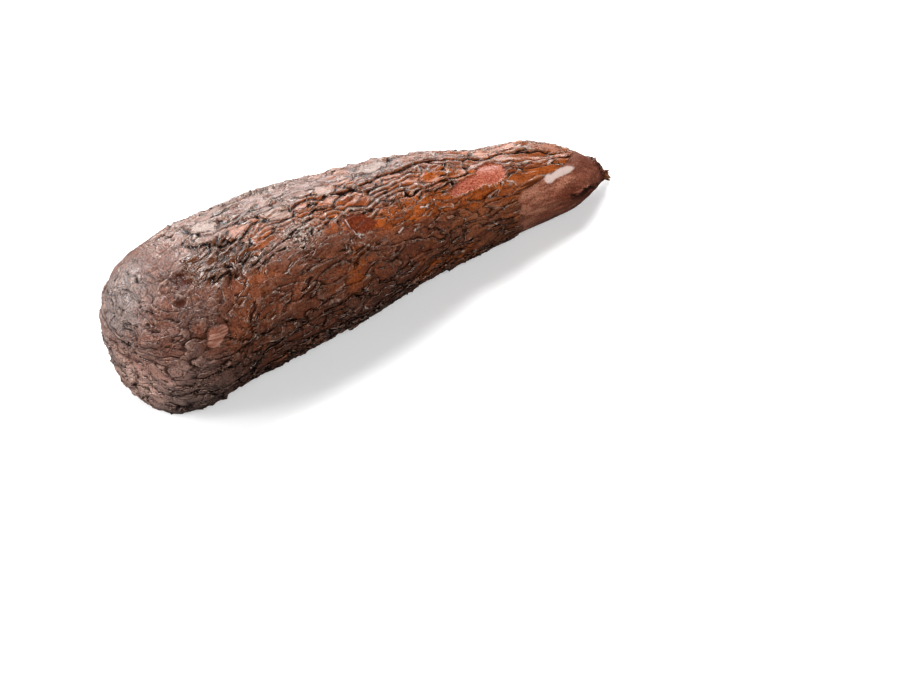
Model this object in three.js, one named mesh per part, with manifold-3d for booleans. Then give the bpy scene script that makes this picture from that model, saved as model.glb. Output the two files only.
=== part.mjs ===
// One whole cassava root (yuca), lying on a flat surface. Millimetres, +Z up.
// +X runs from the blunt stem end to the thin tip, and z = 0 is the surface that the root lies on.
// The root grew in one piece, so it is one closed solid: a body turned along X, then bent, lobed
// and dented as a root is, and flattened where its weight rests.
import * as THREE from "three";
import { ImprovedNoise } from "three/addons/math/ImprovedNoise.js";
import { mergeVertices } from "three/addons/utils/BufferGeometryUtils.js";
import Module from "manifold-3d";

const LENGTH = 306;

// Radius at distances from the stem end, before either end is rounded off.
const TAPER = [
  [0, 38.4],
  [36, 38.4],
  [76, 37.1],
  [116, 34.8],
  [156, 30.9],
  [196, 26.4],
  [234, 22.3],
  [258, 18.5],
  [275, 14.0],
  [289, 8.4],
  [298, 3.6],
  [LENGTH, 1.5],
];
const OVAL = 0.025; // wider than tall, as a share of the radius

// How far the middle line swings to +Y, and how far the underside arches off the surface.
const SWING = [
  [0, -1],
  [36, 0],
  [84, 1.8],
  [126, 3],
  [160, 5],
  [181, 5.6],
  [200, 3.6],
  [228, 2.6],
  [254, 0.4],
  [278, 1.2],
  [LENGTH, 3.6],
];
const ARCH = [
  [0, -6],
  [14, -2.6],
  [34, 0.2],
  [66, 1.6],
  [110, 2.1],
  [160, 2.4],
  [205, 1.8],
  [238, 0.5],
  [262, 0.9],
  [285, 2.4],
  [LENGTH, 3.4],
];
const SINK = 0.9; // how much of the underside the resting flat takes off

// Each end closes along a superellipse: the length it takes, and how square it is.
const STEM_END = { length: 36, squareness: 2.7 };
const TIP_END = { length: 3, squareness: 2 };
const STEM_SCAR = { radius: 11, depth: 1.6 };

// Uneven growth over the whole body: broad lobes, and folds drawn out along the root.
const LOBES = { height: 1.6, spacing: 46, stretch: 1 };
const FOLDS = { height: 0.9, spacing: 13, stretch: 3.2 };
const RELIEF_FADES_BELOW = 19; // radius under which the relief fades out towards each end

// Broad swells and hollows of the body. Here and below, a spot is given by its distance from the
// stem end (at) and its angle in degrees round the root, from +Y towards +Z.
const SWELLS = [
  { at: 40, angle: -144, height: -2.4, spread: 24 },
  { at: 12, angle: -115, height: 1.0, spread: 20 },
  { at: 24, angle: 42, height: -1.2, spread: 16 },
  { at: 281, angle: 98, height: 1.0, spread: 9 },
  { at: 214, angle: 62, height: -1.2, spread: 12 },
  { at: 250, angle: -138, height: -1.2, spread: 14 },
  { at: 188, angle: -130, height: 1.2, spread: 16 },
];

// Knobs stand up where a rootlet grew, and scars sink in where one came away.
const KNOBS = [
  { at: 243, angle: 77, height: 1.6, spread: 8 },
  { at: 188, angle: 77, height: 1.4, spread: 7 },
  { at: 155, angle: 76, height: 0.6, spread: 6 },
  { at: 134, angle: 71, height: 0.8, spread: 6 },
  { at: 212, angle: 15, height: 1.4, spread: 8 },
  { at: 98, angle: 5, height: 1.5, spread: 9 },
];
const SCARS = [
  { at: 17, angle: 114, height: -1.4, spread: 5 },
  { at: 9, angle: 109, height: -1.2, spread: 4 },
  { at: 111, angle: 139, height: -0.8, spread: 7 },
  { at: 150, angle: 20, height: -1.2, spread: 5 },
];

const STATIONS = 62; // rings of facets along the root
const SECTORS = 56; // facets round it
const STATION_CROWDING = 0.85; // how far the stations crowd towards both ends, 0 to 1
const POLE = 1e-6; // the lathe's end points lie this close to its axis

const noise = new ImprovedNoise();

// A smooth curve through [distance, value] points, read at one distance.
function curveThrough(points) {
  const spline = new THREE.CatmullRomCurve3(
    points.map(([at, value]) => new THREE.Vector3(at, value, 0)),
    false,
    "centripetal",
  );
  const samples = spline.getPoints(points.length * 24);
  return (at) => {
    const i = samples.findIndex((p) => p.x >= at);
    if (i <= 0) return samples.at(i).y;
    const [a, b] = [samples[i - 1], samples[i]];
    return THREE.MathUtils.lerp(a.y, b.y, (at - a.x) / (b.x - a.x));
  };
}

const taper = curveThrough(TAPER);
const swing = curveThrough(SWING);
const arch = curveThrough(ARCH);

// 0 at the very end, rising to 1 where the end's own length is passed.
function rounding(inward, end) {
  const left = 1 - Math.min(inward / end.length, 1);
  return (1 - left ** end.squareness) ** (1 / end.squareness);
}

// The outline in the lathe's plane, from the stem end up to the tip.
function outline() {
  const points = [];
  for (let i = 0; i <= STATIONS; i += 1) {
    const share = i / STATIONS;
    const crowded = share - (STATION_CROWDING * Math.sin(2 * Math.PI * share)) / (2 * Math.PI);
    const at = LENGTH * crowded;
    const closed = i === 0 || i === STATIONS;
    const radius = taper(at) * rounding(at, STEM_END) * rounding(LENGTH - at, TIP_END);
    points.push(new THREE.Vector2(closed ? 0 : radius, at));
  }
  return points;
}

// Perlin noise over the turned body, drawn out along the root.
function ripple({ height, spacing, stretch }, at, across, up) {
  return height * noise.noise(at / (spacing * stretch), across / spacing, up / spacing);
}

// One soft round bump, measured over the root's surface.
function bump(spot, at, turn, radius) {
  const apart = turn - THREE.MathUtils.degToRad(spot.angle);
  const nearest = Math.atan2(Math.sin(apart), Math.cos(apart));
  const away = Math.hypot(at - spot.at, nearest * radius);
  return spot.height * Math.exp(-((away / spot.spread) ** 2));
}

function relief(at, turn, radius) {
  const [across, up] = [Math.cos(turn) * radius, Math.sin(turn) * radius];
  const growth = ripple(LOBES, at, across, up) + ripple(FOLDS, at, across, up);
  const spots = [...SWELLS, ...KNOBS, ...SCARS];
  return spots.reduce((height, spot) => height + bump(spot, at, turn, radius), growth);
}

// Moves each point of the turned body out by the relief, then on to the bent middle line.
function shape(geometry) {
  const points = geometry.getAttribute("position");
  for (let i = 0; i < points.count; i += 1) {
    const at = points.getX(i);
    const turned = Math.hypot(points.getY(i), points.getZ(i));
    const turn = Math.atan2(points.getZ(i), points.getY(i));
    const fade = Math.min(turned / RELIEF_FADES_BELOW, 1);
    const radius = turned > POLE ? turned + fade * relief(at, turn, turned) : 0;
    const atStemEnd = at < STEM_END.length;
    const dimple = atStemEnd ? STEM_SCAR.depth * Math.exp(-((turned / STEM_SCAR.radius) ** 4)) : 0;
    points.setXYZ(
      i,
      at + dimple,
      swing(at) + (1 + OVAL) * radius * Math.cos(turn),
      arch(at) - SINK + (1 - OVAL) * (taper(at) + radius * Math.sin(turn)),
    );
  }
}

const turnedBody = new THREE.LatheGeometry(outline(), SECTORS);
turnedBody.rotateZ(-Math.PI / 2); // the lathe's axis comes to lie along +X
shape(turnedBody);

const wasm = await Module();
wasm.setup();

function solidOf(geometry) {
  const bare = geometry.clone().deleteAttribute("normal").deleteAttribute("uv");
  const merged = mergeVertices(bare, 1e-3);
  return new wasm.Manifold(
    new wasm.Mesh({
      numProp: 3,
      vertProperties: merged.getAttribute("position").array,
      triVerts: new Uint32Array(merged.index.array),
    }),
  );
}

function geometryOf(solid) {
  const { vertProperties, triVerts } = solid.getMesh();
  return new THREE.BufferGeometry()
    .setAttribute("position", new THREE.BufferAttribute(vertProperties, 3))
    .setIndex(new THREE.BufferAttribute(triVerts, 1));
}

// The resting flats: whatever is below the surface that the root lies on is taken off.
const underSurface = new THREE.BoxGeometry(2 * LENGTH, LENGTH, LENGTH);
underSurface.translate(LENGTH / 2, 0, -LENGTH / 2);
const rested = geometryOf(solidOf(turnedBody).subtract(solidOf(underSurface)));

// The origin goes to the middle of the root's footprint.
rested.computeBoundingBox();
const middle = rested.boundingBox.getCenter(new THREE.Vector3());
rested.translate(-middle.x, -middle.y, 0);
rested.computeVertexNormals();

const bark = new THREE.MeshStandardMaterial({ color: 0x6b3a28, roughness: 0.45, metalness: 0 });
const root = new THREE.Mesh(rested, bark);
root.name = "cassava_root";

const cassava = new THREE.Group();
cassava.add(root);
export default cassava;
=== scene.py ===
"""A whole cassava root, lying on a white studio floor.

The bark is one mesh grown from the CAD node's own surface. One node network, bark_field(), says how
high the bark stands and what it is made of at any point. Geometry nodes use it to raise the mesh,
and the material uses it again for colour, gloss and the fine relief that the mesh can't hold.
All lengths in the bark's own code are millimetres; Blender's objects are in metres.
"""
import math
from types import SimpleNamespace

import bpy
import numpy as np
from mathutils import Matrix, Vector
from mathutils.bvhtree import BVHTree


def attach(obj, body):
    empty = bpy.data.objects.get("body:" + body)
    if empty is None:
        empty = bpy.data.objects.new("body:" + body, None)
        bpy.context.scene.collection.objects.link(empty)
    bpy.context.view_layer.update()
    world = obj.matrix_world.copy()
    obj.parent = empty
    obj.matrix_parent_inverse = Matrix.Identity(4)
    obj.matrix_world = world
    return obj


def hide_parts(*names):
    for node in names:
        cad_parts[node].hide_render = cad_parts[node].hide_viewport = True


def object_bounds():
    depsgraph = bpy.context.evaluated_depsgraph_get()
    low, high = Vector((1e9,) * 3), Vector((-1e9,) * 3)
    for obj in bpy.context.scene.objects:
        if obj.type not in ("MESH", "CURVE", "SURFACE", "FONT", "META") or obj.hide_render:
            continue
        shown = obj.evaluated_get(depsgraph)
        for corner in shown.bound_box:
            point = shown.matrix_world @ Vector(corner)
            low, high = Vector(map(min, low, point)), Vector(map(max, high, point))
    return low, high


MM = 0.001
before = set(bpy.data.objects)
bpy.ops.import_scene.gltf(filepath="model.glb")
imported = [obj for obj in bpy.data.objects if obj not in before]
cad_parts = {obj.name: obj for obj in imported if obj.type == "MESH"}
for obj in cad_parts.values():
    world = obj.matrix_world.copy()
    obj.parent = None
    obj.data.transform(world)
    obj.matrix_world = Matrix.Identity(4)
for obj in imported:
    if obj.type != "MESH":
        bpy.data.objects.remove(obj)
scene = bpy.context.scene
CAD_BOX = [list(corner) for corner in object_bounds()]
CAD_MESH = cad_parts["cassava_root"].data

# ---------------- the root's base surface

STEM_CAP = 36.0  # mm of the stem end that is sampled from one point inside it
TIP_CAP = 7.0
GRID_STEP = 1.5  # mm between samples of the CAD surface
SAMPLES_ROUND = 160
STEP_ROUND = 2 * math.pi * 30 / SAMPLES_ROUND  # mm between those round a radius of 30 mm
FACET_SMOOTHING = 3.2  # mm: the CAD's facets are blended away over this distance
TIP_RINGS = 9
MIDDLE_STATIONS = 90
MIDDLE_ENDS = (1.5, 0.6)  # mm that the middle line stays short of the stem end and of the tip
MIDDLE_ROUNDS = 3  # times that the middle line is centred between the surface's sides
MIDDLE_START = (37.0, 5.0)  # mm: its height at the stem end and at the tip before that

SPACING_ROUND = 0.52  # mm between the bark mesh's points round the root
SPACING_ALONG = 1.16
UV_MARGIN = 0.004


SURFACE = BVHTree.FromPolygons(
    [vertex.co / MM for vertex in CAD_MESH.vertices],
    [tuple(face.vertices) for face in CAD_MESH.polygons],
)
X_STEM, X_TIP = CAD_BOX[0][0] / MM, CAD_BOX[1][0] / MM


def reach(origin, direction):
    hit = SURFACE.ray_cast(Vector(origin), Vector(direction))[0]
    return 0.0 if hit is None else (hit - Vector(origin)).length


def smoothed(values, width, axis=0, closed=False):
    """Gaussian smoothing along one axis, which is carried on past its ends unless it is closed."""
    reach_out = max(1, int(3 * width))
    kernel = np.exp(-0.5 * (np.arange(-reach_out, reach_out + 1) / width) ** 2)
    kernel /= kernel.sum()
    pads = [(0, 0)] * values.ndim
    pads[axis] = (reach_out, reach_out)
    how = {"mode": "wrap"} if closed else {"mode": "reflect", "reflect_type": "odd"}
    padded = np.pad(values, pads, **how)
    return np.apply_along_axis(lambda row: np.convolve(row, kernel, "valid"), axis, padded)


def middle_line():
    """The root's middle line: x, y and z at stations along it, from the CAD surface itself."""

    def room(way):
        return np.array([reach(point, way) for point in zip(x, y, z)])

    x = np.linspace(X_STEM + MIDDLE_ENDS[0], X_TIP - MIDDLE_ENDS[1], MIDDLE_STATIONS)
    y, z = np.zeros_like(x), np.interp(x, [X_STEM, X_TIP], MIDDLE_START)
    for _ in range(MIDDLE_ROUNDS):
        y = y + (room((0, 1, 0)) - room((0, -1, 0))) / 2
        z = z + (room((0, 0, 1)) - room((0, 0, -1))) / 2
    return x, smoothed(y, 2.0), smoothed(z, 2.0)


MIDDLE = middle_line()


def middle_at(x):
    return np.interp(x, MIDDLE[0], MIDDLE[1]), np.interp(x, MIDDLE[0], MIDDLE[2])


def sample_rings():
    """Rings of surface points from the stem end's pole to the tip: [ring, turn, xyz].

    Over the body each ring is cut square to X. Over either end the rings fan out from one point
    inside, so that they close on a pole.
    """
    quarter = math.pi / 2
    stem_x, tip_x = X_STEM + STEM_CAP, X_TIP - TIP_CAP
    fans = []  # (x of the ring's middle, how far its rays lean towards the tip, and how far out)
    for tilt in np.linspace(0, quarter, int(STEM_CAP * quarter / GRID_STEP), endpoint=False):
        fans.append((stem_x, -math.cos(tilt), math.sin(tilt)))
    for x in np.linspace(stem_x, tip_x, int((tip_x - stem_x) / GRID_STEP), endpoint=False):
        fans.append((x, 0.0, 1.0))
    for tilt in np.linspace(0, quarter, TIP_RINGS):
        fans.append((tip_x, math.sin(tilt), math.cos(tilt)))
    turns = np.arange(SAMPLES_ROUND) * 2 * math.pi / SAMPLES_ROUND - quarter
    rings = np.zeros((len(fans), SAMPLES_ROUND, 3))
    for i, (x, forward, outward) in enumerate(fans):
        y, z = middle_at(x)
        for j, turn in enumerate(turns):
            way = (forward, outward * math.cos(turn), outward * math.sin(turn))
            rings[i, j] = np.array((x, y, z)) + reach((x, y, z), way) * np.array(way)
    return rings


def smooth_rings(rings):
    """The sampled rings with the CAD's flat facets blended into one even surface."""
    out = rings.copy()
    for k in range(3):
        out[:, :, k] = smoothed(out[:, :, k], FACET_SMOOTHING / STEP_ROUND, axis=1, closed=True)
        out[:, :, k] = smoothed(out[:, :, k], FACET_SMOOTHING / GRID_STEP, axis=0)
    # Smoothing round a small ring shrinks it, so each ring gets its own size back.
    was, now = (np.linalg.norm(r - r.mean(1, keepdims=True), axis=2).mean(1) for r in (rings, out))
    scale = np.clip(was / np.maximum(now, 1e-6), 0.8, 1.3)
    centre = out.mean(1, keepdims=True)
    return centre + (out - centre) * smoothed(scale, 2.0)[:, None, None]


class Surface:
    """The smooth base surface, read at any distance along its profile and any turn round it."""

    def __init__(self):
        self.rings = smooth_rings(sample_rings())
        self.rings[0] = self.rings[0].mean(0)
        self.rings[-1] = self.rings[-1].mean(0)
        steps = np.linalg.norm(np.diff(self.rings, axis=0), axis=2).mean(1)
        self.along = np.concatenate([[0], np.cumsum(steps)])
        self.length = self.along[-1]
        self.girth = np.linalg.norm(np.roll(self.rings, -1, 1) - self.rings, axis=2).sum(1)

    def ring(self, along, count):
        """count points round the ring at this distance along the profile, from underneath."""
        i = min(int(np.searchsorted(self.along, along, "right")) - 1, len(self.along) - 2)
        f = (along - self.along[i]) / (self.along[i + 1] - self.along[i])
        weights = self.cubic(f)
        rows = [self.rings[min(max(i + k, 0), len(self.along) - 1)] for k in (-1, 0, 1, 2)]
        ring = sum(w * row for w, row in zip(weights, rows))
        turns = np.arange(count) / count * SAMPLES_ROUND
        j = turns.astype(int)
        weights = self.cubic(turns - j)
        return sum(weights[k][:, None] * ring[(j + k - 1) % SAMPLES_ROUND] for k in range(4))

    @staticmethod
    def cubic(f):
        """Catmull-Rom weights of the four samples round a point."""
        return (
            -0.5 * f + f**2 - 0.5 * f**3,
            1 - 2.5 * f**2 + 1.5 * f**3,
            0.5 * f + 2 * f**2 - 1.5 * f**3,
            -0.5 * f**2 + 0.5 * f**3,
        )


def ring_counts(surface):
    """Where each ring of the bark mesh lies, and how many points it has."""
    count = int(round(surface.length / SPACING_ALONG))
    places = np.linspace(0, surface.length, count + 1)[1:-1]
    girths = np.interp(places, surface.along, surface.girth)
    return places, np.maximum(8, np.round(girths / SPACING_ROUND / 2) * 2).astype(int)


def bridge(count_a, count_b, start_a, start_b):
    """Triangles that join two neighbouring rings of any counts, matched by their turn."""
    faces = []
    i = j = 0
    while i < count_a or j < count_b:
        step_a = (i + 1) / count_a if i < count_a else math.inf
        step_b = (j + 1) / count_b if j < count_b else math.inf
        a, b = start_a + i % count_a, start_b + j % count_b
        if step_a <= step_b:
            faces.append((start_a + (i + 1) % count_a, b, a))
            i += 1
        else:
            faces.append((start_b + (j + 1) % count_b, b, a))
            j += 1
    return faces


def base_mesh():
    """The bark's mesh before any relief, with a UV map for baking."""
    surface = Surface()
    places, counts = ring_counts(surface)
    rings = [surface.ring(place, count) for place, count in zip(places, counts)]
    points = np.concatenate([surface.rings[0][:1], *rings, surface.rings[-1][:1]])
    starts = 1 + np.concatenate([[0], np.cumsum(counts)])
    faces = [(1 + j, 1 + (j + 1) % counts[0], 0) for j in range(counts[0])]
    for i in range(len(counts) - 1):
        faces += bridge(counts[i], counts[i + 1], starts[i], starts[i + 1])
    last, tip = starts[-2], len(points) - 1
    faces += [(tip, last + (j + 1) % counts[-1], last + j) for j in range(counts[-1])]
    mesh = smooth_mesh("cassava_bark", points, faces)

    share = np.concatenate([[0], *(np.arange(count) / count for count in counts), [0]])
    along = np.concatenate([[0], np.repeat(places, counts), [surface.length]])
    unroll(mesh, share, along / surface.length)
    mesh.update()
    return mesh


def unroll(mesh, share, along):
    """A UV map with the root's girth across and its length up, cut underneath."""
    corners = np.zeros(len(mesh.loops), int)
    mesh.loops.foreach_get("vertex_index", corners)
    u = share[corners].reshape(-1, 3)
    v = along[corners].reshape(-1, 3)
    wraps = (u.max(1) - u.min(1)) > 0.5
    u[wraps] = np.where(u[wraps] < 0.5, u[wraps] + 1, u[wraps])
    for pole in (0.0, 1.0):
        at_pole = v == pole
        rest = np.where(at_pole, 0, u).sum(1) / 2
        u = np.where(at_pole, rest[:, None], u)
    layer = mesh.uv_layers.new(name="OFBake")
    uv = np.stack([u, v], -1).reshape(-1, 2) * (1 - 2 * UV_MARGIN) + UV_MARGIN
    layer.data.foreach_set("uv", uv.ravel())


def store(mesh, name, values):
    kind, slot = ("FLOAT", "value") if values.ndim == 1 else ("FLOAT_VECTOR", "vector")
    attribute = mesh.attributes.new(name, kind, "POINT")
    attribute.data.foreach_set(slot, values.astype(np.float32).ravel())


def vectors(mesh, what):
    """What each vertex says of its place ("co") or its normal ("normal"), one row each."""
    values = np.zeros(len(mesh.vertices) * 3)
    mesh.vertices.foreach_get(what, values)
    return values.reshape(-1, 3)


def smooth_mesh(name, points, faces):
    mesh = bpy.data.meshes.new(name)
    mesh.from_pydata((points * MM).tolist(), [], faces)
    mesh.polygons.foreach_set("use_smooth", [True] * len(mesh.polygons))
    return mesh


def add_object(name, data):
    thing = bpy.data.objects.new(name, data)
    scene.collection.objects.link(thing)
    return thing


# ---------------- places on the root
#
# A place is given by its distance from the stem end in mm, and an angle round the middle line in
# degrees, from +Y towards +Z: 90 is the top, and 180 the side that faces -Y.

FAR = 9.0  # mm: distances from a mark's rim or a cord are kept up to this
NEAR = 3.0  # the same in mm for a curl, and in half widths for a knot

SKIN_EDGE = (  # (angle, where the rough bark ends and the bare skin of the tip begins)
    (-175, 216), (-168, 212), (-155, 219), (-130, 217), (-90, 228), (-60, 236), (-30, 230),
    (0, 238), (30, 250), (60, 266), (84, 272), (106, 269), (124, 260), (136, 250), (144, 241),
    (150, 230), (153, 221), (157, 215), (164, 211), (170, 215), (177, 211),
)

ORANGE_EDGE = (  # the lower edge of the wet orange band, through (distance, angle)
    (40, 124), (80, 133), (140, 148), (200, 157),
)

CORDS = (  # raised strands that run along the root, each through (distance, angle)
    ((54, 118), (66, 115), (75, 114), (82, 117), (89, 120), (104, 123), (121, 126), (136, 123),
     (148, 120), (170, 128)),
    ((30, 124), (44, 112), (58, 113), (70, 106), (88, 110)),
    ((120, 117), (134, 113), (146, 114), (158, 110), (170, 113)),
    ((94, 133), (108, 131), (122, 133), (132, 130)),
    ((205, 113), (216, 118), (226, 122), (240, 124), (250, 121)),
    ((150, -60), (172, -66), (196, -58), (214, -64)),
    ((48, 28), (70, 22), (96, 26), (128, 18), (150, 21)),
    ((60, -30), (84, -36), (110, -30), (139, -37), (160, -33)),
)

LEDGE_REACH = 15.0  # mm: how far its sheet of bark runs from a ledge, towards smaller angles
LEDGES = (  # long torn edges of the outer bark, whose lip stands over the bark beside it
    ((38, 104), (46, 110), (54, 110), (62, 104), (72, 105), (82, 106), (91, 102), (100, 107),
     (110, 107), (118, 106), (130, 103), (149, 101), (163, 98), (178, 97), (190, 100), (206, 103),
     (222, 101), (240, 106), (254, 109)),
    ((70, 60), (96, 52), (118, 55), (142, 46), (170, 50), (188, 44)),
    ((110, -72), (136, -80), (158, -74), (190, -82)),
)


def ease(value, low, high):
    """0 where value is past low, 1 where it is past high, and a smooth step between."""
    share = np.clip((value - low) / (high - low), 0, 1)
    return share * share * (3 - 2 * share)


def root_place(at, angle):
    """The place on the surface, in the straightened root's millimetres."""
    y, z = middle_at(X_STEM + at)
    across, up = math.cos(math.radians(angle)), math.sin(math.radians(angle))
    out = reach((X_STEM + at, y, z), (0, across, up))
    return np.array((at, out * across, out * up))


def straightened(mesh):
    """Each point's place in the straightened root: distance from the stem end, then across, in mm."""
    co = vectors(mesh, "co") / MM
    y, z = middle_at(co[:, 0])
    return np.stack([co[:, 0] - X_STEM, co[:, 1] - y, co[:, 2] - z], 1)


PATTERN_START = 24.0  # where along the patterns the stem end reads them, which sets how they fall


def pattern_place(place):
    """Where the bark's patterns are read.

    Over the stem end they are larger and lie level, and near the tip they are drawn out.
    """
    at = place[:, 0]
    on_cap = ease(at, 52, 10)
    drawn_out = at - 0.25 * np.maximum(at - 190, 0) - 0.3 * np.maximum(at - 215, 0) + PATTERN_START
    across = place[:, 1] * (1 - 0.5 * on_cap)
    up = place[:, 2] * (1 - 0.15 * on_cap)
    return np.stack([drawn_out, across, up], 1)


def beside(place, route):
    """Signed distance round the root from a route, in mm, and how much of its width it has here."""
    stops = np.array(route, float)
    at = np.arange(stops[0, 0], stops[-1, 0] + 1)
    line = smoothed(np.interp(at, stops[:, 0], stops[:, 1]), 2.2)
    line += 1.3 * np.sin(at / 3.0 + line) + 0.6 * np.sin(at / 1.7 + 2 * line)
    slope = np.interp(place[:, 0], at, np.gradient(np.radians(line)))
    out = np.hypot(place[:, 1], place[:, 2])
    angle = np.degrees(np.arctan2(place[:, 2], place[:, 1]))
    turn = (angle - np.interp(place[:, 0], at, line) + 180) % 360 - 180
    away = np.radians(turn) * out / np.hypot(1, slope * out)
    from_end = np.minimum(place[:, 0] - at[0], at[-1] - place[:, 0])
    return away, ease(from_end, 0, 9)


def cord_distance(place):
    """Distance from the nearest cord, grown towards the cord's ends so that it thins out there."""
    sides = (beside(place, route) for route in CORDS)
    away = [np.abs(away) + 3.0 * (1 - width) for away, width in sides]
    return np.minimum(FAR, np.min(away, axis=0))


def ledge_distance(place):
    """Signed distance from the nearest ledge, positive on its sheet's side, and its share of height."""
    nearest = np.full(len(place), -LEDGE_REACH)
    share = np.zeros(len(place))
    for route in LEDGES:
        away, width = beside(place, route)
        closer = (width > 0) & (np.abs(away) < np.abs(nearest))
        nearest = np.where(closer, -away, nearest)
        share = np.where(closer, width, share)
    return nearest, share


def store_places(mesh):
    """Keeps on each point what the networks need to know of where it is, and gives all the places."""
    place = straightened(mesh)
    at = place[:, 0]
    angle = np.degrees(np.arctan2(place[:, 2], place[:, 1]))
    store(mesh, "bark", pattern_place(place))
    store(mesh, "place", place)
    edge_angles, edge_places = np.array(SKIN_EDGE, float).T
    store(mesh, "skin", at - np.interp(angle, edge_angles, edge_places, period=360))
    # The upper region lies along the top and fades out down both sides and at the stem end.
    store(mesh, "upper", ease(angle, 38, 64) * ease(angle, 152, 128) * ease(at, 10, 32))
    # The orange band lies between these two angles, and is weaker towards the stem end.
    over = 98 - 21 * ease(at, 140, 185)
    under = np.interp(at, *np.array(ORANGE_EDGE, float).T)
    orange = ease(angle, over - 7, over + 7) * ease(angle, under + 7, under - 7)
    orange *= (0.45 + 0.55 * ease(at, 60, 120)) * ease(at, 20, 40)
    store(mesh, "orange", orange)
    store(mesh, "stem", ease(at, 38, 8))
    store(mesh, "relief", 1 - 0.2 * ease(at, 175, 235))
    store(mesh, "cord", cord_distance(place))
    ledge, share = ledge_distance(place)
    store(mesh, "ledge", ledge)
    store(mesh, "ledge_share", share)
    # The unbroken sheet beside a ledge shows along the middle of the root only.
    sheet = ease(ledge, 0.2, 1.5) * ease(ledge, LEDGE_REACH, LEDGE_REACH - 4)
    store(mesh, "sheet", sheet * share * ease(at, 122, 142) * ease(at, 205, 185) * 0.7)
    return place


def unit(vector):
    return vector / np.linalg.norm(vector)


def from_mark(place, at, angle, half_length, half_width, slant):
    """How far each point lies from the middle of an oval mark: 0 there, and 1 at the mark's rim.

    The slant turns the mark's length from along the root towards growing angles.
    """
    along = unit(root_place(at + 2, angle) - root_place(at - 2, angle))
    round_it = unit(root_place(at, angle + 4) - root_place(at, angle - 4))
    outward = unit(np.cross(along, round_it))
    c, s = math.cos(math.radians(slant)), math.sin(math.radians(slant))
    axes = (
        (along * c + round_it * s) / half_length,
        (round_it * c - along * s) / half_width,
        outward / (3 * half_width),
    )
    off = place - root_place(at, angle)
    return np.linalg.norm([off @ axis for axis in axes], axis=0)


# ---------------- writing node networks


class Field:
    """A socket in a node network, with arithmetic that adds the nodes for it."""

    def __init__(self, net, socket):
        self.net, self.socket = net, socket

    def __add__(self, other):
        return self.net.math("ADD", self, other)

    def __sub__(self, other):
        return self.net.math("SUBTRACT", self, other)

    def __mul__(self, other):
        return self.net.math("MULTIPLY", self, other)

    def __rsub__(self, other):
        return self.net.math("SUBTRACT", other, self)

    __radd__, __rmul__ = __add__, __mul__


class Net:
    """Adds nodes to one tree. All but attribute() use the same ones in geometry and shader trees."""

    def __init__(self, tree):
        self.tree = tree

    def node(self, kind, **settings):
        node = self.tree.nodes.new(kind)
        for name, value in settings.items():
            setattr(node, name, value)
        return node

    def feed(self, socket, value):
        if isinstance(value, Field):
            self.tree.links.new(value.socket, socket)
        else:
            socket.default_value = value

    def feed_all(self, node, names, values):
        for name, value in zip(names, values):
            self.feed(node.inputs[name], value)

    def math(self, operation, a, b=0.0):
        node = self.node("ShaderNodeMath", operation=operation)
        self.feed_all(node, (0, 1), (a, b))
        return Field(self, node.outputs[0])

    def vector(self, operation, a, b=(0, 0, 0), scale=None):
        node = self.node("ShaderNodeVectorMath", operation=operation)
        self.feed(node.inputs[0], a)
        if scale is None:
            self.feed(node.inputs[1], b)
        else:
            self.feed(node.inputs["Scale"], scale)
        return Field(self, node.outputs["Value" if operation == "DOT_PRODUCT" else "Vector"])

    def stretched(self, at, length):
        """The same place with the root's length shrunk, so that what is drawn there runs along it."""
        return self.vector("MULTIPLY", at, (1 / length, 1, 1))

    def noise(self, at, size, detail=2.0, roughness=0.5, colour=False):
        node = self.node("ShaderNodeTexNoise", noise_dimensions="3D")
        values = (at, 1 / size, detail, roughness)
        self.feed_all(node, ("Vector", "Scale", "Detail", "Roughness"), values)
        return Field(self, node.outputs[1 if colour else 0])

    def streaks(self, at, stretch, *kind, **more):
        """Noise that is drawn out along the root."""
        return self.noise(self.stretched(at, stretch), *kind, **more)

    def cells(self, at, size, feature):
        node = self.node("ShaderNodeTexVoronoi", voronoi_dimensions="3D", feature=feature)
        self.feed_all(node, ("Vector", "Scale"), (at, 1 / size))
        return node

    def between(self, value, low, high, to=(0.0, 1.0)):
        """to[0] where value is low, to[1] where it is high, and a smooth step between."""
        node = self.node("ShaderNodeMapRange", interpolation_type="SMOOTHSTEP", clamp=True)
        self.feed_all(node, range(5), (value, low, high, *to))
        return Field(self, node.outputs[0])

    def inside(self, kind, ragged, soft):
        """1 inside the spots of a kind and 0 outside; ragged and soft (mm) shape and blur the rim."""
        return self.between(self.attribute(kind) + ragged, soft, -soft)

    def ridge(self, value, centre, width):
        """1 where value is at centre, falling smoothly to 0 a width away on either side."""
        return self.between(self.math("ABSOLUTE", value - centre), width, 0.0)

    def mix(self, share, a, b):
        node = self.node("ShaderNodeMix", data_type="FLOAT")
        self.feed_all(node, (0, 2, 3), (share, a, b))
        return Field(self, node.outputs[0])

    def blend(self, share, a, b):
        node = self.node("ShaderNodeMix", data_type="RGBA")
        a, b = ((*value, 1.0) if isinstance(value, tuple) else value for value in (a, b))
        self.feed_all(node, (0, 6, 7), (share, a, b))
        return Field(self, node.outputs[2])

    def painted(self, colour, *coats):
        """The colour once each coat, given as (share, colour), is laid over it in turn."""
        for share, coat in coats:
            colour = self.blend(share, colour, coat)
        return colour

    def attribute(self, name, kind="FLOAT"):
        if self.tree.type == "GEOMETRY":
            node = self.node("GeometryNodeInputNamedAttribute", data_type=kind)
            node.inputs["Name"].default_value = name
            return Field(self, node.outputs[0])
        node = self.node("ShaderNodeAttribute", attribute_name=name)
        return Field(self, node.outputs["Vector" if kind == "FLOAT_VECTOR" else "Fac"])


# ---------------- the bark

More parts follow.
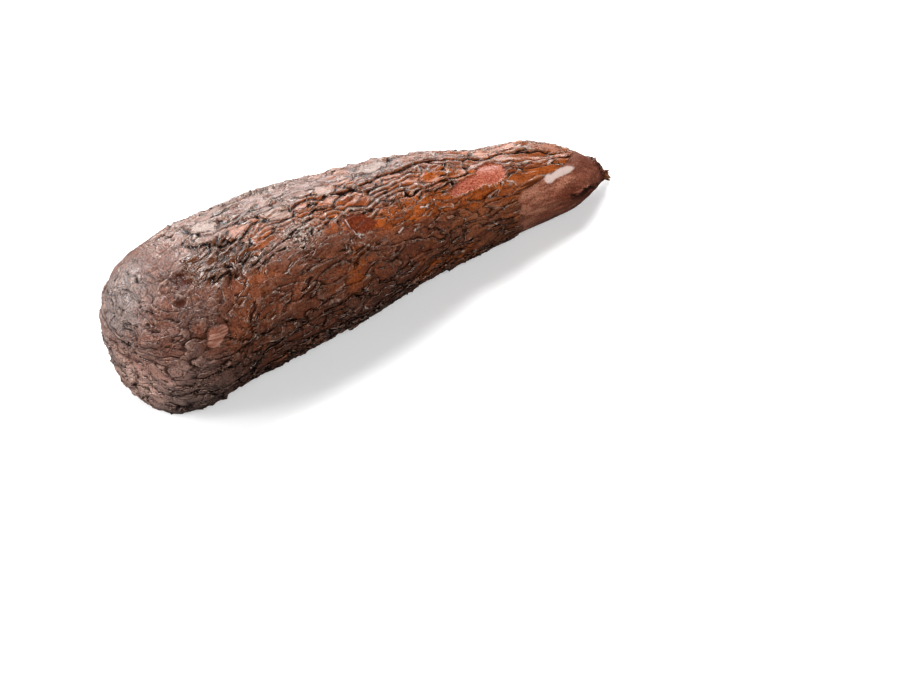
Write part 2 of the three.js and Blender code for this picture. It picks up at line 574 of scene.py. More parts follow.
# Each mark is (distance, angle, half length, half width, slant).
MARKS = {  # kinds of spot on this root
    "peeled": ((203, 126, 10.5, 5.6, -14), (187, 134, 15.5, 3.2, -11)),
    "red": ((111, 136, 8.5, 5.0, 14),),
    "plate": (
        (44, 88, 6.0, 4.5, 20), (76, 106, 8.0, 3.6, 8), (108, 100, 7.0, 3.0, -4),
        (144, 86, 12.0, 3.6, -6), (92, 30, 12.0, 6.0, 5), (168, -52, 14.0, 6.0, -5),
        (120, -140, 11.0, 5.0, 6),
    ),
    "pinkish": ((19, 159, 5.2, 3.4, -20),),
    "scuffed": ((80, 127, 9.5, 5.0, 6),),
    # a smooth strip near the tip, painted pale as a reflection
    "strip": ((246, 146, 12.5, 2.0, -9), (238, 150, 4.5, 2.4, -9)),
    "tongue": ((223, 149, 11.0, 1.5, -10),),
    "crust": ((291, 128, 9.0, 5.0, 20), (265, -176, 17.0, 2.4, 4)),
    # A dark patch of painted shade below the start of the first ledge.
    "painted_shade_patch": ((36, 118, 18, 10.5, 12),),
}
KNOTS = (  # (mark, depth of the hollow in mm)
    ((18, 115, 5.4, 4.2, 70), 1.9),
    ((12.6, 127.3, 3.2, 2.4, 10), 1.2),
    ((150, 15, 3.4, 2.6, 10), 1.4),
    ((72, -75, 4.4, 3.0, -15), 1.6),
)
LIFTS = (  # (mark, how far its middle stands out in mm)
    ((155, 80, 3.0, 2.0, 10), 1.5),
    ((186, 80, 5.0, 3.0, 0), 1.0),
    ((239, 84, 4.5, 2.4, 5), 1.6),
    ((287, 118, 5.0, 3.5, 30), 0.9),
    ((96, 20, 5.0, 3.0, -10), 1.0),
    ((200, -20, 6.0, 3.0, 10), 0.9),
)
CURLS = (  # short raised curls of torn bark, painted pale as glints, each through (distance, angle)
    ((103.6, 130.5), (103.9, 136.4), (105.1, 142.4), (106.5, 146.8)),
    ((105.0, 142.0), (109.0, 145.0)),
    ((196.6, 135.7), (196.9, 138.5), (196.5, 141.1)),
    ((209.0, 139.5), (212.5, 141.5), (214.2, 147.6)),
    ((168.7, 147.3), (169.4, 152.4)),
    ((148.0, 141.8), (151.4, 142.5), (153.5, 144.5)),
    ((132.4, 150.7), (128.8, 153.0)),
    ((106.4, 150.5), (109.8, 153.5)),
    ((281.5, 136.0), (287.0, 147.0), (293.0, 160.0)),
)
MORE_CURLS = 36  # threads at random places, so that every side has some
CURL_SEED = 5
ASH_AND_SHEEN_SPOTS = (((6, 10, 20), 21.0), ((2, 20, -6), 11.0))  # (centre, radius): grey parts of the stem end, grey bark in part and painted sheen in part


def store_marks(mesh, place):
    """Keeps on each point how far it is from the marks of each kind, and what they do there."""
    for kind, marks in MARKS.items():
        rims = [(from_mark(place, *mark) - 1) * mark[3] for mark in marks]  # in mm
        store(mesh, kind, np.minimum(FAR, np.min(rims, axis=0)))
    grey = [np.linalg.norm(place - np.array(centre), axis=1) - radius for centre, radius in ASH_AND_SHEEN_SPOTS]
    store(mesh, "ash_and_sheen", np.minimum(*grey))
    knot, depth = np.full(len(place), NEAR), np.zeros(len(place))
    for mark, hollow in KNOTS:
        share = from_mark(place, *mark)
        depth = np.where(share < knot, hollow, depth)
        knot = np.minimum(knot, share)
    store(mesh, "knot", knot)
    store(mesh, "knot_depth", depth)
    lifts = (rise * ease(from_mark(place, *mark), 1.1, 0.2) for mark, rise in LIFTS)
    store(mesh, "lift", sum(lifts))
    store(mesh, "curl", curl_distance(place))


def curl_distance(place):
    """Distance from the nearest curl, in mm."""
    draw = np.random.default_rng(CURL_SEED)
    curls = list(CURLS)
    for _ in range(MORE_CURLS):
        at, angle = draw.uniform(25, 205), draw.uniform(-180, 180)
        reach_at, reach_angle = draw.uniform(-3, 3), draw.uniform(-6, 6)
        middle = (at + reach_at * 0.5 + draw.uniform(-1, 1), angle + reach_angle * 0.5)
        curls.append(((at, angle), middle, (at + reach_at, angle + reach_angle)))
    nearest = np.full(len(place), NEAR)
    for curl in curls:
        stops = [root_place(*stop) for stop in curl]
        for start, end in zip(stops, stops[1:]):
            step = end - start
            share = np.clip((place - start) @ step / (step @ step), 0, 1)
            off = place - start - share[:, None] * step
            nearest = np.minimum(nearest, np.linalg.norm(off, axis=1))
    return nearest


# Layers of bark plates: how many times as long as wide, width in mm, difference in height in mm,
# tilt, lean of the shingling, and the widths of their welts and grooves as shares of their own.
BIG_PLATES = (2.9, 4.5, 0.42, 0.1, 0.17, 0.085, 0.08)
SMALL_PLATES = (2.6, 1.8, 0.15, 0.07, 0.06, 0.2, 0.17)
SCALES = (1.9, 5.2, 0.3, 0.07, 0.1, 0.09, 0.07)


def plates(net, at, stretch, size, step, tilt, shingle, welt_width, groove_width):
    """One layer of bark plates, each at its own height and a little askew.

    shingle leans every plate the same way, so that its edge towards smaller angles stands over its
    neighbour there. Gives the height, the welt round the rim of a plate that stands over its
    neighbour, the groove at that rim's foot, and a tone for each plate.
    """
    at = net.stretched(at, stretch)
    first, second = net.cells(at, size, "F1"), net.cells(at, size, "F2")
    round_it = net.vector("NORMALIZE", net.vector("CROSS_PRODUCT", (1.0, 0.0, 0.0), at))
    levels = []
    for cell in (first, second):
        random = Field(net, cell.outputs["Color"])
        lean = net.vector("SCALE", net.vector("SUBTRACT", random, (0.5, 0.5, 0.5)), scale=tilt)
        lean = net.vector("SUBTRACT", lean, net.vector("SCALE", round_it, scale=shingle))
        off = net.vector("SUBTRACT", at, Field(net, cell.outputs["Position"]))
        level = (net.vector("DOT_PRODUCT", random, (1.0, 0.6, 0.4)) - 1.0) * step
        levels.append(level + net.vector("DOT_PRODUCT", off, lean))
    gap = Field(net, second.outputs["Distance"]) - Field(net, first.outputs["Distance"])
    over = net.between(levels[0] - levels[1], -0.15 * step, 0.25 * step)
    welt = net.ridge(gap, 0.55 * welt_width, welt_width) * over
    groove = net.between(gap, groove_width, 0.0) * (1.0 - over)
    tone = net.vector("DOT_PRODUCT", Field(net, first.outputs["Color"]), (0.0, 1.0, 0.0))
    height = net.mix(net.between(gap, 0.0, 0.08), (levels[0] + levels[1]) * 0.5, levels[0])
    return height, welt, groove, tone


def shingles(net, rise, turned):
    """Overlapping sheets: their height, the lip along each proud edge and the crevice beyond it.

    The proud edge is where rise passes a whole number: its higher side where turned is 0, and its
    lower side where turned is 1.
    """
    part = net.math("FRACT", rise)
    part = net.mix(turned, 1.0 - part, part)
    fall = net.between(part, 1.0, 0.95)
    lip = net.ridge(part, 0.9, 0.07)
    crevice = net.between(part, 0.13, 0.0)
    return (part - 0.5) * fall, lip, crevice


def largest(net, *values):
    most = values[0]
    for value in values[1:]:
        most = net.math("MAXIMUM", most, value)
    return most


SWAYS = (  # what bends the patterns: (stretch, size in mm, detail, how far it moves them in mm)
    (2.4, 12.0, 1.0, (14.0, 6.0, 6.0)),
    (2.6, 4.2, 0.6, (7.0, 3.0, 3.0)),
)


def bark_field(net):
    """How high the bark stands, in mm, and what it is made of, at the point being worked on."""
    between, mix, ridge, stored = net.between, net.mix, net.ridge, net.attribute
    here = stored("bark", "FLOAT_VECTOR")
    upper, stem, sheet = stored("upper"), stored("stem"), stored("sheet")

    warped = here
    for stretch, size, detail, sway in SWAYS:
        drift = net.streaks(here, stretch, size, detail, colour=True)
        drift = net.vector("SUBTRACT", drift, (0.5, 0.5, 0.5))
        warped = net.vector("ADD", warped, net.vector("MULTIPLY", drift, sway))
    ragged = (net.noise(here, 2.6, 2.0, 0.6) - 0.5) * 3.0
    uneven = (net.streaks(here, 1.5, 5.5, 2.0, 0.6) - 0.5) * 9.0

    # Plates of two sizes, which fade out in places.
    big, big_welt, big_groove, big_tone = plates(net, warped, *BIG_PLATES)
    small, small_welt, small_groove, small_tone = plates(net, warped, *SMALL_PLATES)
    kept = between(net.streaks(warped, 1.6, 5.0, 1.0), 0.4, 0.54)
    fine = between(net.streaks(here, 1.5, 9.0, 1.0), 0.52, 0.64)
    big_welt, big_groove = big_welt * kept, big_groove * kept
    small_welt, small_groove = small_welt * fine, small_groove * fine
    calm = mix(upper, 0.75, 0.9)
    height = big * mix(kept, 0.2, 1.0) + small * mix(fine, 0.1, 0.8)
    height += big_welt * 0.55 + small_welt * 0.24
    height = (height - big_groove * 0.5 - small_groove * 0.16) * calm
    lumps = net.streaks(here, 1.8, 7.0, 1.5) - 0.5

    # Scales: rounder and lower plates, over the stem end only.
    scale, scale_welt, scale_groove, _ = plates(net, warped, *SCALES)
    scale = scale * 1.5 + scale_welt * 0.14 - scale_groove * 0.3
    height = mix(stem, height, scale + height * 0.35) + lumps * mix(stem, 2.2, 1.6)
    scale_welt, scale_groove = scale_welt * stem * kept, scale_groove * stem * mix(kept, 0.4, 1.0)
    big_welt, big_groove = big_welt * (1.0 - 0.5 * stem), big_groove * (1.0 - 0.6 * stem)

    # Layers: broad sheets of bark, torn along one edge. The torn edge is the upper one on the
    # sides of the root, and the lower one in the upper region.
    rise = net.streaks(warped, 3.0, 8.0, 1.6, 0.5) * 5.0
    rise += net.vector("DOT_PRODUCT", warped, (0.0, 0.0, -0.14))
    layer, rim, foot = shingles(net, rise, upper)
    torn = mix(kept, 0.55, 1.0) * (1.0 - 0.1 * stem)
    rim, foot = rim * torn, foot * torn
    height = height + (layer * mix(upper, 1.05, 1.4) + rim * 0.35 - foot * 0.45) * torn

    # Cords: long raised welts that wander along the root.
    wander = net.math("FRACT", net.streaks(warped, 5.0, 10.0, 0.8, 0.4) * 3.4)
    corded = between(net.streaks(here, 2.5, 14.0, 1.0), 0.56, 0.68)
    wobble = (net.noise(here, 3.2, 1.0) - 0.5) * 0.9
    named = stored("cord") + wobble
    height = mix(between(named, 0.8, 2.4, (0.85, 0.0)), height, -0.3)
    loose_cord = ridge(wander, 0.5, 0.13) * corded * (1.0 - stem)
    cord = largest(net, loose_cord, between(named, 0.75, 0.1))
    cord *= mix(kept, 0.35, 1.0)
    shadow = largest(net, ridge(wander, 0.66, 0.06) * corded, ridge(named, 1.25, 0.45) * 0.8)
    height = height + cord * 0.85 - shadow * 0.25

    # Ledges: the lip of a torn sheet stands over its neighbour, and the sheet itself is unbroken.
    folds = net.streaks(warped, 6.0, 2.8, 1.5, 0.5) - 0.5
    fold = between(net.math("ABSOLUTE", folds), 0.05, 0.0)
    height = mix(sheet * 0.8, height, 0.2 + folds * 2.4 - fold * 0.25)
    ledge = stored("ledge") + wobble * 0.5
    share = stored("ledge_share")
    lip = between(ledge, -0.1, 0.35) * between(ledge, 6.0, 0.3) * share
    # Under the lip the bark dips, and the colour darkens it there as painted shade.
    under = ridge(ledge, -0.6, 0.75) * share
    height = height + lip * 0.75 - under * 0.7

    height *= stored("relief")

    # Smooth places.
    peeled = net.inside("peeled", ragged * 0.8, 0.3)
    red = net.inside("red", uneven * 0.5 + ragged, 0.3)
    pinkish = net.inside("pinkish", uneven * 0.5, 0.3)
    plate = stored("plate") + uneven
    smooth = between(plate, 0.0, -0.4)
    rim_of_plate, foot_of_plate = ridge(plate, -0.3, 0.5), ridge(plate, 0.5, 0.5)
    crumbs = between(net.noise(here, 1.0, 1.0), 0.46, 0.54) * net.inside("scuffed", uneven, 1.6)
    height += crumbs * 0.4 + ridge(stored("peeled") + ragged * 0.8, 0.6, 0.8) * 0.3
    height = mix(smooth * 0.75, height, 0.45) + rim_of_plate * 0.2 - foot_of_plate * 0.25
    for share, level in ((red * 0.8, -0.25), (pinkish * 0.8, 0.5), (peeled, -0.6 + ragged * 0.06)):
        height = mix(share, height, level)

    # The bare skin of the tip, with the torn bark's edge, a tongue of bark and a smooth strip painted
    # pale as a reflection.
    edge = stored("skin") + ragged * 0.7 + uneven * 0.6
    rough = between(edge, 0.35, -0.35)
    tongue = net.inside("tongue", ragged * 0.35, 0.3)
    strip = net.inside("strip", ragged * 0.5 + uneven * 0.35, 0.4) * (1.0 - tongue)
    crust = net.streaks(here, 1.8, 1.6, 2.0, 0.6)
    crusted = net.inside("crust", uneven * 0.5, 0.8)
    creases = net.streaks(here, 3.2, 2.4, 2.0, 0.5)
    crease = between(net.math("ABSOLUTE", creases - 0.5), 0.03, 0.0)
    height = mix(rough, -0.5 - crease * 0.1 + (creases - 0.5) * 0.9 + lumps * 0.8, height)
    height = mix(tongue, height, 0.45)
    height = mix(strip, height, -0.3)
    height = height + crusted * (0.5 + (crust - 0.45) * 4.5)

    # Knots: a raised rim round a hollow.
    knot = stored("knot") + ragged * 0.42 + uneven * 0.12
    bowl = between(knot, 1.0, 0.45)
    height = mix(bowl * 0.7, height, stored("knot_depth") * -1.0)
    height += ridge(knot, 1.1, 0.25) * 0.45

    curl = between(stored("curl") + wobble * 0.35, 0.6, 0.1) * rough
    height = height + curl * 0.5 + stored("lift") - 0.12

    keep = rough * (1.0 - largest(net, smooth, red, peeled, pinkish, strip))
    welt = largest(net, big_welt, small_welt * 0.5, scale_welt * 0.4, cord, rim * 0.7, tongue)
    grooves = (big_groove, small_groove * 0.7, scale_groove, shadow * 0.8, foot * 0.9)
    groove = largest(net, *grooves, under, foot_of_plate)
    return SimpleNamespace(
        here=here, upper=upper, stem=stem, sheet=sheet, rough=rough, height=height,
        groove=groove * keep, welt=welt * keep, tone=mix(0.35, big_tone, small_tone),
        peeled=peeled, smooth=smooth, red=red, pinkish=pinkish, tongue=tongue, strip=strip,
        painted_shade_patch=net.inside("painted_shade_patch", uneven * 0.6, 1.8), crumbs=crumbs, curl=curl, hollow=bowl,
        crusted=crusted * between(crust, 0.6, 0.45),
    )


CAVITY_ROUNDS = 9  # averagings that give the level which cavities and raised parts are told from


def evened(mesh, values):
    """The values after being averaged with their neighbours', round after round."""
    edges = np.zeros(len(mesh.edges) * 2, int)
    mesh.edges.foreach_get("vertices", edges)
    first, second = edges.reshape(-1, 2).T
    count = len(values)
    neighbours = np.bincount(edges, minlength=count)
    for _ in range(CAVITY_ROUNDS):
        sums = np.bincount(first, values[second], count) + np.bincount(second, values[first], count)
        values = (values + sums / neighbours) / 2
    return values


def raise_bark(bark):
    """Works out the bark's height at each point of the mesh and moves the point out by it."""
    tree = bpy.data.node_groups.new("bark relief", "GeometryNodeTree")
    for way in ("INPUT", "OUTPUT"):
        tree.interface.new_socket("Geometry", in_out=way, socket_type="NodeSocketGeometry")
    net = Net(tree)
    given = net.node("NodeGroupInput").outputs[0]
    keep = net.node("GeometryNodeStoreNamedAttribute", data_type="FLOAT", domain="POINT")
    tree.links.new(given, keep.inputs["Geometry"])
    keep.inputs["Name"].default_value = "height"
    net.feed(keep.inputs["Value"], bark_field(net).height)
    tree.links.new(keep.outputs[0], net.node("NodeGroupOutput").inputs[0])
    modifier = bark.modifiers.new("relief", "NODES")
    modifier.node_group = tree
    bpy.context.view_layer.objects.active = bark
    bark.select_set(True)
    bpy.ops.object.modifier_apply(modifier=modifier.name)

    mesh = bark.data
    height = np.zeros(len(mesh.vertices), np.float32)
    mesh.attributes["height"].data.foreach_get("value", height)
    # cavity: how far a point stands above its neighbours' level; the colour paints highlight on raised
    # parts and shade in hollows from it.
    store(mesh, "cavity", height - evened(mesh, height))
    co = vectors(mesh, "co") + vectors(mesh, "normal") * height[:, None] * MM
    co[:, 2] = np.maximum(co[:, 2], 0.0)  # nothing goes through the floor
    mesh.vertices.foreach_set("co", co.ravel())
    mesh.update()


def bark_colour(net, field):
    """The colour of the bark and of the tip's bare skin, coat over coat; some are painted shade and
    light.
    """
    between, mix, blend, stored = net.between, net.mix, net.blend, net.attribute
    here, plain = field.here, stored("place", "FLOAT_VECTOR")
    along = net.vector("DOT_PRODUCT", plain, (1.0, 0.0, 0.0))
    up = net.vector("DOT_PRODUCT", plain, (0.0, 0.0, 1.0))
    orange, cavity = stored("orange"), stored("cavity")
    broad = net.streaks(here, 2.0, 22.0, 2.0)
    mottle = net.streaks(here, 1.4, 2.6, 3.0, 0.65)
    speckle = net.noise(plain, 0.8, 2.0, 0.65)
    # Noise that picks which welts and smooth plates are painted pale: as dust, as painted glints and as
    # painted sheen.
    dust_and_glint = net.noise(plain, 2.0, 3.0, 0.65)
    fibrous = net.noise(net.vector("MULTIPLY", here, (0.12, 0.0, 1.0)), 0.9, 1.0)
    fibrous = between(fibrous, 0.42, 0.58)

    low = between(field.height, 0.5, -0.5)
    warm = between(broad + orange * 0.36 + low * 0.06, 0.57, 0.8)
    warm *= between(along, 60.0, 105.0, (0.6, 1.0))
    tipward = between(along, 130.0, 190.0) * between(up, -10.0, 8.0, (0.35, 0.8))
    weathered = field.upper * (1.0 - orange) * between(field.height, -0.5, 0.4)
    cloud = between(net.streaks(here, 1.3, 9.0, 2.0), 0.4, 0.6, (0.0, 0.35))
    ash_and_sheen_share = between(stored("ash_and_sheen") + (mottle - 0.5) * 24.0, 4.0, -11.0)
    # The stem end's colour: greyer than the body, and paler the lower it faces. The pale underside is
    # painted sheen and bounce light, and the grey on top is partly painted sheen.
    cap_with_painted_sheen = blend(between(up, -9.0, 14.0), (0.36, 0.24, 0.21), (0.116, 0.078, 0.073))
    cap_with_painted_sheen = blend(between(up, -1.0, -14.0), cap_with_painted_sheen, (0.52, 0.375, 0.33))
    # Welts, the raised rims, are painted pale: partly dust and partly painted highlight.
    welt = field.welt * (1.0 - 0.85 * field.stem) * (1.0 - 0.5 * field.painted_shade_patch)
    welt *= mix(field.upper, 0.55, 1.0)
    # Painted highlight on raised parts and painted shade in hollows, from how far each point stands
    # above or below its neighbours.
    raised_highlight = between(cavity, 0.1, 0.6, (0.0, 0.5)) * (1.0 - 0.5 * field.painted_shade_patch)
    cavity_shade = between(cavity, -0.02, mix(field.upper, -0.5, -0.34))
    cavity_shade *= mix(field.upper, 0.65, 0.97)
    brown = net.painted(
        blend(orange, (0.225, 0.084, 0.048), (0.265, 0.08, 0.034)),
        (between(up, 14.0, -14.0, (0.0, 0.9)), (0.12, 0.054, 0.04)),  # painted shade: darker on the lower side
        (tipward, (0.42, 0.15, 0.068)),
        (weathered * 0.6, (0.24, 0.16, 0.138)),
        (warm, (0.46, 0.115, 0.02)),
        (field.sheet * 0.7, (0.215, 0.085, 0.055)),
        (between(field.tone, 0.45, 0.85, (0.0, 0.75)), (0.19, 0.062, 0.036)),  # darker plates
        (between(mottle, 0.5, 0.75, (0.0, 0.7)), (0.095, 0.025, 0.01)),
        # The stem end's colour, with its painted sheen.
        (field.stem * 0.62, cap_with_painted_sheen),
        (field.stem * largest(net, cloud, ash_and_sheen_share) * 0.9, (0.205, 0.178, 0.172)),  # grey: grey bark in part, painted sheen in part
        # Painted shade: the dark patch below the first ledge's start.
        (field.painted_shade_patch * 0.85, (0.085, 0.025, 0.007)),
        (field.red * 0.9, (0.17, 0.03, 0.011)),
        (between(speckle, 0.34, 0.5, (0.75, 0.0)), (0.06, 0.014, 0.005)),  # dark specks
        (between(speckle, 0.52, 0.7, (0.0, 0.45)), (0.46, 0.19, 0.085)),  # pale specks
        # Pale welts: partly dust, partly painted highlight.
        (welt * between(dust_and_glint, 0.3, 0.6, (0.3, 0.85)), (0.42, 0.27, 0.2)),
        # Painted glints: the whitest welts.
        (welt * between(dust_and_glint, 0.51, 0.6, (0.0, 0.9)), (0.8, 0.73, 0.69)),
        # Painted sheen: the smooth plates made paler.
        (field.smooth * between(dust_and_glint, 0.35, 0.6, (0.25, 0.6)), (0.31, 0.215, 0.165)),
        (field.crumbs * 0.85, (0.6, 0.49, 0.43)),
        # Painted shade: near black in the grooves, on the low side of plate edges, beyond torn edges,
        # beside cords, under ledge lips and round smooth plates.
        (field.groove * mix(field.upper, 0.7, 0.9), (0.014, 0.005, 0.003)),
        # Painted highlight on raised parts, then painted shade in hollows.
        (raised_highlight, (0.39, 0.265, 0.21)),
        (cavity_shade, (0.022, 0.008, 0.004)),
    )

    blotch = net.streaks(here, 1.8, 8.0, 3.0, 0.6)
    blotch += between(stored("skin"), 4.0, 26.0, (-0.06, 0.1))
    patch = net.streaks(here, 1.6, 13.0, 3.0, 0.6) + field.upper * 0.14
    skin = net.painted(
        blend(between(blotch, 0.4, 0.6), (0.62, 0.285, 0.185), (0.4, 0.14, 0.085)),
        (between(mottle, 0.44, 0.64, (0.0, 0.6)), (0.21, 0.066, 0.036)),
        (between(patch, 0.5, 0.62, (0.0, 0.75)), (0.2, 0.056, 0.028)),
        (between(speckle, 0.36, 0.52, (0.7, 0.0)), (0.15, 0.04, 0.024)),  # dark freckles
        (between(speckle, 0.54, 0.68, (0.0, 0.4)), (0.66, 0.34, 0.25)),  # pale freckles
    )

    grain = between(speckle, 0.38, 0.62)
    return net.painted(
        blend(field.rough, skin, brown),
        (field.crusted * 0.9, (0.03, 0.013, 0.009)),
        (field.peeled, blend(grain, (0.3, 0.06, 0.032), (0.64, 0.23, 0.15))),
        (field.pinkish * 0.8, blend(fibrous, (0.46, 0.25, 0.19), (0.27, 0.11, 0.072))),
        (field.tongue, blend(fibrous, (0.36, 0.135, 0.052), (0.13, 0.035, 0.012))),
        # Painted reflection: the pale strip.
        (field.strip * between(speckle, 0.3, 0.5, (0.7, 0.95)), (0.8, 0.63, 0.57)),
        # Painted glints: the curls made pale.
        (field.curl * 0.85, (0.72, 0.62, 0.57)),
        (field.hollow * 0.9, blend(mottle, (0.018, 0.005, 0.003), (0.12, 0.034, 0.02))),
    )


def new_material(name):
    """An empty material: the material, what adds nodes to it, and its shader."""
    material = bpy.data.materials.new(name)
    material.use_nodes = True
    tree = material.node_tree
    tree.nodes.clear()
    net = Net(tree)
    shader = net.node("ShaderNodeBsdfPrincipled")
    tree.links.new(shader.outputs[0], net.node("ShaderNodeOutputMaterial").inputs[0])
    return material, net, shader


def add_bump(net, height, *normals):
    """Feeds fine relief, as a height in mm, to a shader's normals."""
    bump = net.node("ShaderNodeBump")
    bump.inputs["Distance"].default_value = MM
    net.feed(bump.inputs["Height"], height)
    for normal in normals:
        net.tree.links.new(bump.outputs[0], normal)


def bark_material():
    material, net, shader = new_material("cassava_bark")
    field = bark_field(net)
    net.feed(shader.inputs["Base Color"], bark_colour(net, field))
    gloss = net.between(net.noise(net.stretched(field.here, 1.4), 3.5, 2.0), 0.35, 0.65, (0.22, 0.4))
    gloss = net.mix(field.welt * 0.8, gloss, 0.15)
    dull = field.stem * (1.0 - field.painted_shade_patch) * 0.8
    gloss = net.mix(dull, gloss, net.between(net.attribute("ash_and_sheen"), -6.0, 3.0, (0.75, 0.52)))
    net.feed(shader.inputs["Roughness"], net.mix(field.rough, 0.44, gloss))
    shader.inputs["Specular IOR Level"].default_value = 0.8
    shader.inputs["Coat Weight"].default_value = 0.4
    shader.inputs["Coat Roughness"].default_value = 0.1
    grain = net.noise(field.here, 0.55, 2.0, 0.6) * net.mix(field.stem, 0.12, 0.07)
    missing = field.height - net.attribute("height")  # what the mesh was too coarse to take up
    add_bump(net, missing + grain, shader.inputs["Normal"], shader.inputs["Coat Normal"])
    return material


def make_bark():
    mesh = base_mesh()
    bark = add_object("cassava_bark", mesh)
    store_marks(mesh, store_places(mesh))
    raise_bark(bark)
    mesh.materials.append(bark_material())
    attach(bark, "root")
    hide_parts("cassava_root")


# ---------------- the torn fibres at the tip

FIBRES = (  # (radius, then places along it: mm back from the tip, and across and up from the middle)
    (2.4, ((9.0, 0.8, -0.8), (6.2, 1.2, -1.4), (3.6, 1.6, -2.2), (1.4, 2.0, -3.2))),
    (1.35, ((7.0, 1.0, -1.5), (4.6, 1.5, -1.9), (2.4, 1.9, -3.0), (0.2, 2.0, -4.2))),
    (1.2, ((7.5, 0.6, -2.2), (5.6, 0.4, -2.9), (4.0, 0.2, -3.8), (2.4, 0.2, -4.6))),
    (1.2, ((6.0, 2.0, -0.5), (3.8, 2.6, -0.4), (2.0, 3.0, -0.9), (0.5, 3.4, -1.9))),
    (0.6, ((6.0, 1.2, 0.6), (4.4, 1.0, 1.0), (3.0, 1.1, 0.9), (1.8, 1.7, 0.4))),
    (0.6, ((6.5, 2.6, -2.0), (4.4, 3.4, -2.9), (2.9, 3.7, -3.7), (1.7, 3.3, -4.4))),
)
FIBRE_RINGS = 22
FIBRE_SIDES = 10
FIBRE_SEED = 3


def fibre_material():
    material, net, shader = new_material("cassava_torn_fibre")
    here = net.attribute("bark", "FLOAT_VECTOR")
    strand = net.streaks(here, 6.0, 0.35, 2.0, 0.6)
    patch = net.noise(here, 1.6, 2.0, 0.6)
    colour = net.blend(net.between(patch, 0.4, 0.6), (0.42, 0.2, 0.085), (0.13, 0.045, 0.02))
    colour = net.blend(net.between(strand, 0.5, 0.65, (0.0, 0.7)), colour, (0.035, 0.014, 0.008))
    net.feed(shader.inputs["Base Color"], colour)
    net.feed(shader.inputs["Roughness"], net.between(strand, 0.3, 0.7, (0.35, 0.6)))
    add_bump(net, strand * 0.25, shader.inputs["Normal"])
    return material


def make_fibres():
    """Short torn strands that the tip ends in, each a tapering, ragged, closed tube."""
    draw = np.random.default_rng(FIBRE_SEED)
    points, faces = [], []
    for radius, stops in FIBRES:
        stops = np.array(stops)
        share = np.linspace(0, 1, FIBRE_RINGS)
        stations = np.linspace(0, 1, len(stops))
        back, across, up = (smoothed(np.interp(share, stations, row), 2.0) for row in stops.T)
        y, z = middle_at(X_TIP - back)
        line = np.stack([X_TIP - back, y + across, z + up], 1)
        width = radius * (1 - share**2.2) ** 0.7 * (1 + 0.18 * draw.standard_normal(FIBRE_RINGS))
        turns = np.arange(FIBRE_SIDES) * 2 * math.pi / FIBRE_SIDES
        flute = 1 + 0.22 * draw.standard_normal(FIBRE_SIDES)
        first = len(points)
        for i in range(FIBRE_RINGS - 1):
            heading = line[i + 1] - line[i]
            side = unit(np.cross(heading, (0, 0, 1)))
            over = unit(np.cross(side, heading))
            for turn, fold in zip(turns, flute):
                out = (math.cos(turn) * side + 0.7 * math.sin(turn) * over) * fold * max(width[i], 0.06)
                points.append(line[i] + out)
        points.append(line[-1])
        end = len(points) - 1
        faces.append(tuple(range(first, first + FIBRE_SIDES)))
        for a in range(first, end, FIBRE_SIDES):
            b = a + FIBRE_SIDES
            for j in range(FIBRE_SIDES):
                k = (j + 1) % FIBRE_SIDES
                faces.append((a + k, a + j, b + j, b + k) if b < end else (a + k, a + j, end))
    points = np.array(points)
    points[:, 2] = np.maximum(points[:, 2], 0.05)
    mesh = smooth_mesh("cassava_tip_fibres", points, faces)
    store(mesh, "bark", points)
    mesh.update()
    mesh.materials.append(fibre_material())
    fibres = add_object("cassava_tip_fibres", mesh)
    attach(fibres, "root")


# ---------------- the studio

FLOOR_HALF = 1200.0  # mm
CAMERA_AZIMUTH = math.radians(-44.67)
CAMERA_ELEVATION = math.radians(32.0)
CAMERA_DISTANCE = 0.9587
CAMERA_AIM = Vector((-0.01208, -0.04915, 0.0))
RIGHT = Vector((math.cos(CAMERA_AZIMUTH), math.sin(CAMERA_AZIMUTH), 0))  # as the camera sees it
AWAY = Vector((-RIGHT.y, RIGHT.x, 0))
CAMERA_BACK = Vector((0, 0, math.sin(CAMERA_ELEVATION))) - AWAY * math.cos(CAMERA_ELEVATION)
LAMP_TARGET = Vector((0, 0, 0.03))
LAMPS = (  # (name, how far it is to the right, away and up, size, power, whether shiny parts show it)
    ("overhead", (-0.1, 0.3, 1.2), (0.5, 0.4), 8.0, True),
    ("back", (-0.1, 0.9, 0.9), (1.4, 0.5), 6.5, True),
    ("low_back", (-0.1, 1.3, 0.45), (1.6, 0.4), 6.5, True),
    ("left", (-1.3, 0.1, 0.45), (0.5, 0.5), 7.5, True),
    ("left_fill", (-1.0, -0.7, 0.6), (0.5, 0.5), 9.0, False),
    ("low_left_fill", (-1.1, -0.3, 0.08), (0.7, 0.16), 8.0, False),
    ("front_fill", (0.3, -1.2, 0.7), (0.6, 0.5), 12.0, False),
    ("right_fill", (1.3, 0.0, 0.5), (0.5, 0.5), 4.0, False),
)


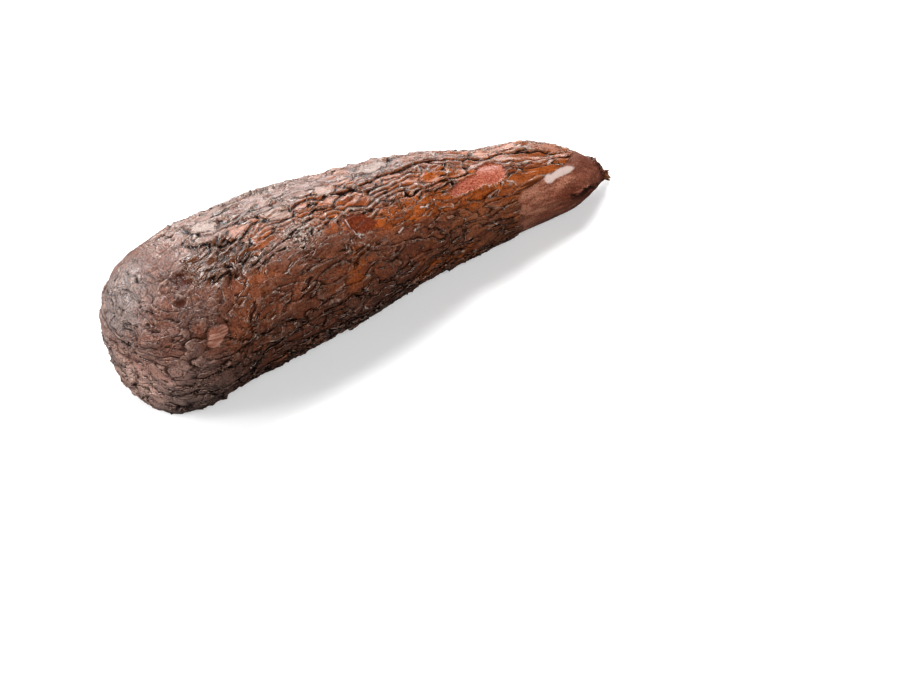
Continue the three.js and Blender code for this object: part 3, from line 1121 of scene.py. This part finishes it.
def floor():
    """A pale floor that takes the root's shadow and throws no light back on the root."""
    corners = FLOOR_HALF * np.array([(-1, -1, 0), (1, -1, 0), (1, 1, 0), (-1, 1, 0)])
    mesh = smooth_mesh("studio_floor", corners, [(0, 1, 2, 3)])
    plane = add_object("studio_floor", mesh)
    material, _, shader = new_material("studio_white")
    shader.inputs["Base Color"].default_value = (0.8, 0.8, 0.8, 1)
    shader.inputs["Roughness"].default_value = 0.9
    shader.inputs["Specular IOR Level"].default_value = 0.1
    shader.inputs["Emission Color"].default_value = (1, 1, 1, 1)
    shader.inputs["Emission Strength"].default_value = 0.22
    mesh.materials.append(material)
    plane.visible_diffuse = False
    plane.visible_glossy = False


def camera():
    data = bpy.data.cameras.new("camera")
    data.lens = 85.0
    data.sensor_width = 36.0
    eye = add_object("camera", data)
    eye.location = CAMERA_AIM + CAMERA_BACK * CAMERA_DISTANCE
    eye.rotation_euler = CAMERA_BACK.to_track_quat("Z", "Y").to_euler()
    scene.camera = eye


def lights():
    """Rectangular lamps, placed as the camera sees the root, and the sky behind the floor."""
    for name, (to_right, to_back, up), size, power, gloss in LAMPS:
        lamp = bpy.data.lights.new(name, "AREA")
        lamp.shape = "RECTANGLE"
        lamp.size, lamp.size_y = size
        lamp.energy = power
        holder = add_object(name, lamp)
        off = to_right * RIGHT + to_back * AWAY + Vector((0, 0, up))
        holder.location = LAMP_TARGET + off
        holder.rotation_euler = off.to_track_quat("Z", "Y").to_euler()
        holder.visible_glossy = gloss
    world = bpy.data.worlds.new("studio")
    world.use_nodes = True
    sky = world.node_tree.nodes["Background"]
    sky.inputs["Color"].default_value = (1, 1, 1, 1)
    net = Net(world.node_tree)
    seen = Field(net, net.node("ShaderNodeLightPath").outputs["Is Camera Ray"])
    net.feed(sky.inputs["Strength"], net.mix(seen, 0.03, 1.0))  # pale to the camera, dim as a light
    scene.world = world


make_bark()
make_fibres()
floor()
lights()
camera()
scene.view_settings.view_transform = "Standard"
scene.view_settings.look = "Medium High Contrast"
